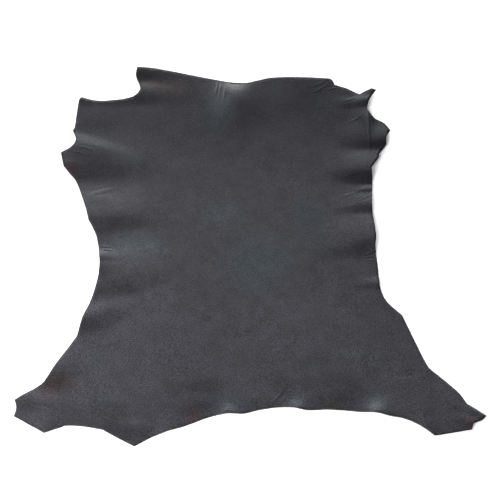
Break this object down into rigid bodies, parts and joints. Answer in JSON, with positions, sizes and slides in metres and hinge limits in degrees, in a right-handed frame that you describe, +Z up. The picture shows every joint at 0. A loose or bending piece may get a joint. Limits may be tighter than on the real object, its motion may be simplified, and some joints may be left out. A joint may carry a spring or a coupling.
{
  "type": "leather hide",
  "caption": "Whole tanned and dyed skin of a small animal, lying grain side up, with leg flaps, a wide neck and rump and soft folds running in from the cut edge.",
  "frame": {"origin": "centre of the skin's outline box, on the surface that it lies on", "axes": "+X across the skin towards its right flank as the picture shows it, +Y along the backbone from the rump to the neck, +Z up out of the grain side"},
  "size_m": [0.884, 0.9141, 0.0121],
  "materials": {
    "leather": "dyed charcoal black, fine pebble grain, soft satin sheen, with a suede flesh side and bare cut edges"
  },
  "bodies": {
    "root": {"hide": "leather"}
  },
  "joints": []
}
